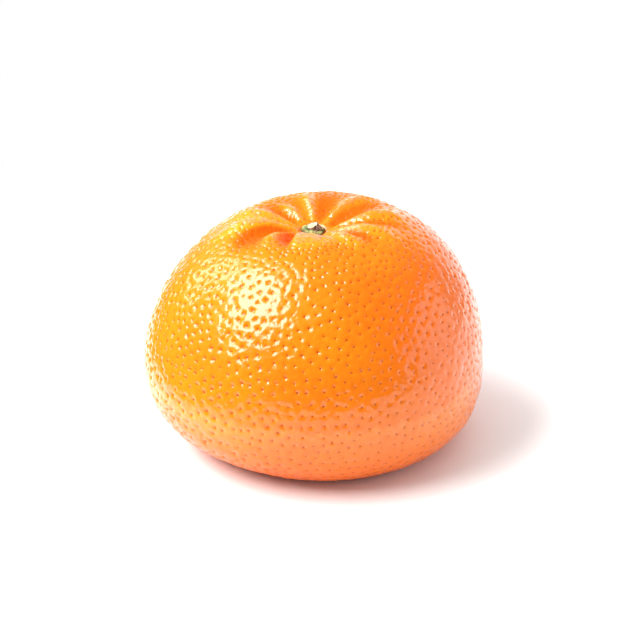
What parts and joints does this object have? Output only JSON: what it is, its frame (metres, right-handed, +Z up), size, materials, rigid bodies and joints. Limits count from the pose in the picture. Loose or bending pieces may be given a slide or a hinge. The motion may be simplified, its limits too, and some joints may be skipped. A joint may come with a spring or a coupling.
{
  "type": "mandarin",
  "caption": "Whole flat mandarin with folds round a sunken stem end, a pitted glossy peel, a green calyx and a clipped stem; stands on its blossom end.",
  "frame": {"origin": "middle of the flat spot at the blossom end that the fruit rests on, which is also the bottom centre of its bounding box", "axes": "+Z up along the fruit's core, from the blossom end to the stem end; +X to the right and +Y to the back as first seen"},
  "size_m": [0.0655, 0.0662, 0.0453],
  "materials": {
    "peel": null,
    "calyx": "dry grey-green calyx, matt",
    "stem": "brown bark with a pale cut face, matt"
  },
  "bodies": {
    "root": {"fruit": "peel", "calyx": "calyx", "stem_stub": "stem"}
  },
  "joints": []
}
